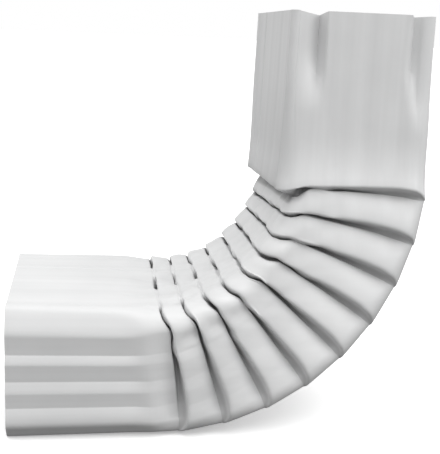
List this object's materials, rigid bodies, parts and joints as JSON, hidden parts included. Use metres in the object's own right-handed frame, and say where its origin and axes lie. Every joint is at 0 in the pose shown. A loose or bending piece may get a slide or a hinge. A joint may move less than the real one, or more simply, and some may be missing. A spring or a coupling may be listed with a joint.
{
  "type": "downspout elbow",
  "caption": "White painted sheet-metal downspout elbow: a rectangular pipe bent through a right angle in overlapping pleats, with a fluted plain end and a crimped end.",
  "frame": {"origin": "centre of the plain mouth, where the next pipe slips in", "axes": "-X out of the plain mouth, +Z out of the crimped mouth, Y across the cheeks; the throat of the bend faces up and towards -X"},
  "size_m": [0.1717, 0.0855, 0.1786],
  "materials": {
    "white_enamel": "baked white enamel, semi-gloss, smooth"
  },
  "bodies": {
    "root": {"elbow": "white_enamel"}
  },
  "joints": []
}
